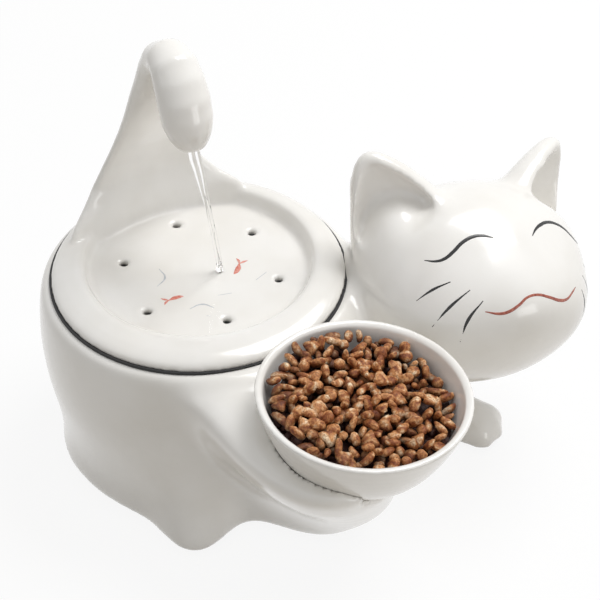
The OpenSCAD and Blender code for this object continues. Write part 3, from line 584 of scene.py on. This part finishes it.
class FOUNTAIN_OT_face(bpy.types.Operator):
    """Paints the closed eyes, the whiskers and the mouth"""
    bl_idname = "fountain.face"
    bl_label = "Painted face"

    def execute(self, context):
        paint = context.scene.fountain_paint
        tree = surface_of(bpy.data.objects["ceramic_body"])
        black = painted_line("underglaze_black", paint.black_hex, "1A1A1D")
        red = painted_line("underglaze_red", paint.mouth_hex, "C97A62")
        lines = [("eye_line_left", EYE_LEFT, black, 1.0), ("eye_line_right", EYE_RIGHT, black, 1.0),
                 ("mouth_line", MOUTH, red, 0.95)]
        lines += [(f"whisker_{i + 1}", w, black, 0.95) for i, w in enumerate(WHISKERS)]
        for name, path, mat, scale in lines:
            points = [(on_face(tree, lon, lat), share) for lon, lat, share in path]
            brush_line(name, points, paint.line_width * scale, paint.line_height, tree, mat,
                       "basin_body")
        return {"FINISHED"}


# Brushed goldfish on the tray floor: place, heading in degrees, size
TRAY_FISH = [(0.0225, 0.006, 250, 1.0), (-0.0125, -0.0205, 20, 0.9)]
# Short grey strokes of water weed on the tray floor
TRAY_WEED = [[(-0.004, -0.030), (0.003, -0.026), (0.010, -0.029)], [(0.012, -0.018), (0.020, -0.016)],
             [(-0.024, -0.010), (-0.020, -0.002), (-0.024, 0.006)], [(0.034, -0.004), (0.040, 0.003)],
             [(0.006, -0.036), (0.015, -0.038)]]


class FOUNTAIN_OT_tray_painting(bpy.types.Operator):
    """Paints two small fish and some strokes on the tray floor"""
    bl_idname = "fountain.tray_painting"
    bl_label = "Tray painting"

    def execute(self, context):
        paint = context.scene.fountain_paint
        tree = surface_of(bpy.data.objects["drinking_tray"])
        coral = painted_line("underglaze_coral", "D9705C", "EFB9AC")
        grey = painted_line("underglaze_grey", "B9BCC2", "D9DADD")

        def down(x, y):
            return tree.ray_cast(Vector((x, y, 0.16)), Vector((0, 0, -1)))[0]

        def line(name, path, width, mat):
            points = [(down(x, y), share) for x, y, share in path]
            brush_line(name, points, width, paint.line_height * 0.7, tree, mat, "tray_body")

        for i, (x, y, heading, size) in enumerate(TRAY_FISH):
            c, s = math.cos(math.radians(heading)), math.sin(math.radians(heading))

            def at(u, w, share):
                return (x + (u * c - w * s) * MM * size, y + (u * s + w * c) * MM * size, share)

            line(f"fish_{i + 1}_body",
                 [at(5, 0, 0.2), at(2.5, 0.5, 0.85), at(-1, 0.4, 1.0), at(-5, -0.6, 0.25)],
                 0.0034 * size, coral)
            line(f"fish_{i + 1}_tail", [at(-5, -0.6, 0.3), at(-7.5, 1.2, 0.9), at(-9.5, 3, 0.2)],
                 0.0020 * size, coral)
            line(f"fish_{i + 1}_fin", [at(-5, -0.6, 0.3), at(-7.5, -2, 0.9), at(-9, -4, 0.2)],
                 0.0020 * size, coral)
        for i, path in enumerate(TRAY_WEED):
            shares = [0.3] + [1.0] * (len(path) - 2) + [0.3]
            line(f"weed_{i + 1}", [(x, y, k) for (x, y), k in zip(path, shares)], 0.0012, grey)
        return {"FINISHED"}


# ---------- pump, pads and tube ----------

class FOUNTAIN_OT_pump(bpy.types.Operator):
    """Gives the pump, the pads and the tube their finishes"""
    bl_idname = "fountain.pump"
    bl_label = "Pump and rubber parts"

    def execute(self, context):
        black_abs = moulded_plastic("black_abs", "17181A", "2B2D30")
        clear = silicone("clear_silicone", "CDD4D5")
        # Black rubber for the bushes and the gland; on the tray's seal its black is also painted shade of the
        # seam
        black_rubber_and_seam_shade = sintered("black_rubber_and_seam_shade", "0B0B0C", "1B1B1D", 0.7, 0.6)
        finishes = {
            "pump_housing": black_abs, "pump_back_plate": black_abs, "volute_cover": black_abs,
            "intake_cover": black_abs,
            "flow_regulator": moulded_plastic("blue_abs", "2A5A9C", "3C6DB0", 0.3),
            "coil_bobbin": moulded_plastic("natural_nylon", "DCD8C8", "ECE9DD", 0.5),
            "impeller": moulded_plastic("white_acetal", "DADDDF", "F0F1F1", 0.3),
            "stator_core": laminated_steel(), "stator_coil": enamelled_copper(),
            "rotor_shaft": sintered("ground_alumina", "E6E6E2", "F5F5F2", 0.25, 0.4),
            "rotor_magnet": sintered("ferrite", "1C1C1E", "303033", 0.55, 0.5),
            "shaft_bushes": black_rubber_and_seam_shade, "cord_gland": black_rubber_and_seam_shade,
            "intake_sponge": reticulated_foam(),
            # The tray's seal is black so that the seam under the tray's rim shows as a dark line: partly a
            # rubber part, partly painted shade of that gap
            "tray_seal": black_rubber_and_seam_shade, "base_pads": clear, "suction_cups": clear, "outlet_tube": clear,
        }
        for name, mat in finishes.items():
            set_material(NODES[name], mat)
        return {"FINISHED"}


# ---------- contents: kibble and water ----------

# Kibble shapes: name, length, width and thickness, number of lobes and their depth, curve of its length
KIBBLES = [("kibble_oval", 1.15, 0.7, 0.5, 0, 0, 0.1), ("kibble_bean", 1.15, 0.54, 0.46, 0, 0, 0.4),
           ("kibble_round", 0.85, 0.8, 0.55, 0, 0, 0), ("kibble_three", 1.0, 1.0, 0.5, 3, 0.2, 0),
           ("kibble_bone", 1.15, 0.72, 0.46, 2, 0.2, 0.2), ("kibble_heart", 1.0, 1.0, 0.46, 1, 0.3, 0)]


def kibble_shape(name, length, width, thick, lobes, deep, curve):
    """One kibble: a pressed pellet with full edges, whose rim swells into lobes, with an uneven crust."""
    deselect()
    bpy.ops.mesh.primitive_ico_sphere_add(subdivisions=2, radius=0.5)
    piece = bpy.context.object
    piece.name = name
    for v in piece.data.vertices:
        a = math.atan2(v.co.y, v.co.x)
        v.co *= 0.5 / sum(abs(c) ** 2.7 for c in v.co) ** (1 / 2.7)
        flat = 1 - abs(v.co.z) * 2
        if lobes == 1:
            # A notch at one end and a point at the other
            swell = 1 - deep * math.exp(-(a / 0.5) ** 2) + 0.15 * math.exp(-((abs(a) - math.pi) / 0.5) ** 2)
        else:
            swell = 1 + deep * math.cos(lobes * a) * (0.5 + flat)
        crust = 1 + 0.14 * fractal.noise(v.co * 3.3 + Vector((length * 9, width * 50, 0)))
        v.co.x *= length * swell * crust
        v.co.y = v.co.y * width * swell * crust + curve * v.co.x ** 2
        v.co.z *= thick * crust * (1 - 0.15 * flat)
    pick(piece)
    bpy.ops.object.shade_smooth()
    return piece


def bowl_radius(z):
    """Inside radius of the bowl at a height above its foot, in millimetres."""
    return 30 + 30 * (max(z - 1.2, 0) / 46) ** 0.46 - 4.2


def heap_top(x, y):
    """Height of the heap's surface above the bowl's foot, in millimetres."""
    return 40.0 + 4.0 * (1 - (x * x + y * y) / 2500) - 0.11 * x + 0.06 * y


class FOUNTAIN_OT_kibble(bpy.types.Operator):
    """Heaps dry food in the bowl"""
    bl_idname = "fountain.kibble"
    bl_label = "Kibble"

    def execute(self, context):
        food = context.scene.fountain_kibble
        rng = random.Random(food.seed)
        size = food.size / MM
        mat = baked_kibble("baked_kibble", ("6E3314", "A05E2F", "DA9E66", "FFEAC8"))
        shapes = [kibble_shape(*k) for k in KIBBLES]
        # A dark brown bed hides the bowl's bottom, and the pieces settle on it one after another; the bed's
        # near-black is painted shade in the gaps between the pieces
        bed = 30.0
        ball = size * 0.335
        placed, copies = [], {s.name: [] for s in shapes}
        tries = 0
        while len(placed) < food.count and tries < food.count * 12:
            tries += 1
            r = 50 * math.sqrt(rng.random())
            a = rng.random() * 2 * math.pi
            x, y = r * math.cos(a), r * math.sin(a)
            z = bed
            for px, py, pz in placed:
                d2 = (x - px) ** 2 + (y - py) ** 2
                if d2 < 4 * ball * ball:
                    z = max(z, pz + math.sqrt(4 * ball * ball - d2) * 0.95)
            if z > heap_top(x, y) or r > bowl_radius(z) - size * 0.42:
                continue
            placed.append((x, y, z))
            shape = shapes[rng.choices(range(6), [6, 4, 3, 3, 2, 3])[0]]
            turn = (Matrix.Rotation(rng.random() * 6.28, 3, "Z")
                    @ Matrix.Rotation(rng.gauss(0, 0.6), 3, "X")
                    @ Matrix.Rotation(rng.gauss(0, 0.6), 3, "Y")
                    @ Matrix.Rotation(rng.random() * 6.28, 3, "Z"))
            scale = size * MM * rng.uniform(0.76, 1.08)
            middle = BOWL_FOOT + BOWL_TILT @ (Vector((x, y, z)) * MM)
            copies[shape.name].append(Matrix.Translation(middle) @ (BOWL_TILT @ turn * scale).to_4x4())
        for shape in shapes:
            parts = []
            for place in copies[shape.name]:
                part = bpy.data.objects.new(shape.name, shape.data.copy())
                part.data.transform(place)
                bpy.context.scene.collection.objects.link(part)
                parts.append(part)
            pick(*parts)
            bpy.ops.object.join()
            heap = parts[0]
            set_material(heap, mat)
            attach(heap, "bowl_body")
            bpy.data.objects.remove(shape)
        deselect()
        bpy.ops.mesh.primitive_circle_add(vertices=48, radius=(bowl_radius(bed) - 0.6) * MM,
                                          fill_type="TRIFAN")
        base = bpy.context.object
        base.name = "kibble_bed_painted_shade"
        bpy.ops.object.mode_set(mode="EDIT")
        bpy.ops.mesh.subdivide(number_cuts=11)
        bpy.ops.object.mode_set(mode="OBJECT")
        for v in base.data.vertices:
            crumbs = 1.6 * fractal.noise(v.co / (4.5 * MM)) + 0.8 * fractal.noise(v.co / (1.9 * MM))
            v.co.z = crumbs * MM
        base.data.transform(BOWL_PLACE @ Matrix.Translation((0, 0, bed * MM)))
        bpy.ops.object.shade_smooth()
        # The bed's browns are near-black: painted shade seen in the gaps of the heap
        set_material(base, baked_kibble("kibble_gap_painted_shade", ("170300", "260A02", "3C1606", "5A2A10")))
        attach(base, "bowl_body")
        return {"FINISHED"}


# Falling water: place in millimetres, from the spout to the tray, then radius and spread of its two strands
STREAM = [(0.2, 5.3, 222, 1.9, 1.2), (0.5, 4.9, 215, 2.0, 1.7), (2.8, 4.6, 202, 1.6, 1.6),
          (5.3, 4.4, 187, 1.4, 1.0), (7.5, 4.2, 173, 1.3, 0.5), (10.6, 3.9, 150, 1.2, 0.8),
          (12.1, 3.8, 136, 1.3, 0.6), (12.5, 3.8, 129.9, 2.0, 0.4)]


class FOUNTAIN_OT_water(bpy.types.Operator):
    """Lets two thin strands of water fall from the spout on to a film of water in the tray"""
    bl_idname = "fountain.water"
    bl_label = "Water"

    def strand(self, side, mat):
        knots = [(((x + side * spread) * MM, (y - side * 0.3) * MM, z * MM), r * (1.0 if side < 0 else 0.8))
                 for x, y, z, r, spread in STREAM]
        strand = bezier_rod("water_strand", knots, MM, 12, 5)
        bpy.ops.object.shade_smooth()
        set_material(strand, mat)
        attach(strand, "tray_body")

    def execute(self, context):
        water = clear_water()
        for side in (-1, 1):
            self.strand(side, water)
        deselect()
        bpy.ops.mesh.primitive_circle_add(vertices=FILM_SIDES, radius=FILM_RADIUS, fill_type="TRIFAN")
        film = context.object
        film.name = "water_film"
        bpy.ops.object.mode_set(mode="EDIT")
        bpy.ops.mesh.subdivide(number_cuts=24)
        bpy.ops.object.mode_set(mode="OBJECT")
        landing = Vector(STREAM[-1][:2]) * MM
        half = math.pi / FILM_SIDES
        for v in film.data.vertices:
            # Straight sides are drawn out to the round, and the rim climbs the glaze a little
            a = math.atan2(v.co.y, v.co.x) % (2 * half) - half
            out = v.co.xy * math.cos(a) / math.cos(half)
            rim = out.length / FILM_RADIUS
            spot = Vector((out.x, out.y + FILM_SHIFT))
            far = (spot - landing).length / MM
            ripple = 0.25 * math.cos(far * 1.15) * math.exp(-far / 14)
            swell = 0.22 * fractal.noise(Vector((spot.x / 0.011, spot.y / 0.011, 0.7)))
            height = 0.7 + ripple + swell * (1 - rim ** 6) + 0.2 * rim ** 16
            v.co = (spot.x, spot.y, TRAY_FLOOR + height * MM)
        bpy.ops.object.shade_smooth()
        set_material(film, water_film())
        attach(film, "tray_body")
        return {"FINISHED"}


# ---------- studio ----------

class FOUNTAIN_OT_studio(bpy.types.Operator):
    """Sets up the pale floor, the soft lights and the camera"""
    bl_idname = "fountain.studio"
    bl_label = "Studio"

    def area_light(self, name, place, size, power):
        light = bpy.data.lights.new(name, "AREA")
        light.shape = "RECTANGLE"
        light.size, light.size_y = size
        light.energy = power
        lamp = bpy.data.objects.new(name, light)
        lamp.location = place
        lamp.rotation_euler = (Vector(STUDIO_MIDDLE) - Vector(place)).to_track_quat("-Z", "Y").to_euler()
        bpy.context.scene.collection.objects.link(lamp)

    def seen(self, tree):
        """1 where the background is looked at, straight, mirrored or through glass, else 0."""
        path = add_node(tree, "ShaderNodeLightPath").outputs
        seen = add_node(tree, "ShaderNodeMath", {0: path["Is Camera Ray"], 1: path["Is Glossy Ray"]},
                        operation="MAXIMUM").outputs[0]
        return add_node(tree, "ShaderNodeMath", {0: seen, 1: path["Is Transmission Ray"]},
                        operation="MAXIMUM").outputs[0]

    def backdrop_material(self, code):
        mat = bpy.data.materials.new("studio_paper")
        tree = empty_tree(mat)
        paper = add_node(tree, "ShaderNodeBsdfDiffuse", {"Color": linear(code)})
        glow = add_node(tree, "ShaderNodeEmission", {"Color": linear(code), "Strength": 1.0})
        shown = add_node(tree, "ShaderNodeMixShader", {0: 0.88, 1: paper.outputs[0], 2: glow.outputs[0]})
        dull = add_node(tree, "ShaderNodeBsdfDiffuse", {"Color": linear("B9B2A6")})
        both = add_node(tree, "ShaderNodeMixShader", {0: self.seen(tree), 1: dull.outputs[0],
                                                      2: shown.outputs[0]})
        add_node(tree, "ShaderNodeOutputMaterial", {"Surface": both.outputs[0]})
        return mat

    def execute(self, context):
        studio = context.scene.fountain_studio
        deselect()
        bpy.ops.mesh.primitive_plane_add(size=6, location=(0, 0, 0))
        floor = context.object
        floor.name = "studio_floor"
        set_material(floor, self.backdrop_material(studio.floor_hex))
        self.area_light("key_light", (0.57, 0.38, 1.39), (0.8, 0.8), studio.key_power)
        self.area_light("side_light", (0.95, -0.75, 0.22), (0.5, 0.4), studio.side_power)
        self.area_light("fill_light", (-1.0, -0.4, 0.9), (0.5, 0.9), studio.fill_power)
        world = bpy.data.worlds.new("studio_room")
        tree = empty_tree(world)
        soft = add_node(tree, "ShaderNodeBackground", {"Color": linear("FFFFFF"),
                                                       "Strength": studio.world_strength})
        white = add_node(tree, "ShaderNodeBackground", {"Color": linear("FFFFFF"), "Strength": 1.0})
        both = add_node(tree, "ShaderNodeMixShader", {0: self.seen(tree), 1: soft.outputs[0],
                                                      2: white.outputs[0]})
        add_node(tree, "ShaderNodeOutputWorld", {"Surface": both.outputs[0]})
        context.scene.world = world
        camera = bpy.data.cameras.new("photo_camera")
        camera.lens = CAMERA_LENS
        camera.sensor_width = 36
        camera.clip_start, camera.clip_end = 0.05, 20
        eye = bpy.data.objects.new("photo_camera", camera)
        eye.location = CAMERA_PLACE
        eye.rotation_euler = (math.radians(90 - CAMERA_DIP), 0, 0)
        context.scene.collection.objects.link(eye)
        context.scene.camera = eye
        context.scene.view_settings.view_transform = "Standard"
        return {"FINISHED"}


# ---------- add-on ----------

OPERATORS = [FOUNTAIN_OT_body, FOUNTAIN_OT_tray, FOUNTAIN_OT_bowl, FOUNTAIN_OT_face,
             FOUNTAIN_OT_tray_painting, FOUNTAIN_OT_pump, FOUNTAIN_OT_kibble, FOUNTAIN_OT_water,
             FOUNTAIN_OT_studio]


class FOUNTAIN_PT_panel(bpy.types.Panel):
    """Lists the fountain's pieces and their settings"""
    bl_idname = "FOUNTAIN_PT_panel"
    bl_label = "Cat Water Fountain"
    bl_space_type = "VIEW_3D"
    bl_region_type = "UI"
    bl_category = "Fountain"

    def draw(self, context):
        for name, group in GROUPS.items():
            box = self.layout.box()
            for key in group.__annotations__:
                box.prop(getattr(context.scene, name), key)
        for operator in OPERATORS:
            self.layout.operator(operator.bl_idname)


CLASSES = [*GROUPS.values(), *OPERATORS, FOUNTAIN_PT_panel]


def register():
    for cls in CLASSES:
        bpy.utils.register_class(cls)
    for name, group in GROUPS.items():
        setattr(bpy.types.Scene, name, bpy.props.PointerProperty(type=group))


def unregister():
    for name in GROUPS:
        delattr(bpy.types.Scene, name)
    for cls in reversed(CLASSES):
        bpy.utils.unregister_class(cls)


def main():
    register()
    bpy.ops.fountain.body()
    bpy.ops.fountain.tray()
    bpy.ops.fountain.bowl()
    bpy.ops.fountain.face()
    bpy.ops.fountain.tray_painting()
    bpy.ops.fountain.pump()
    bpy.ops.fountain.kibble()
    bpy.ops.fountain.water()
    bpy.ops.fountain.studio()


if __name__ == "__main__":
    main()
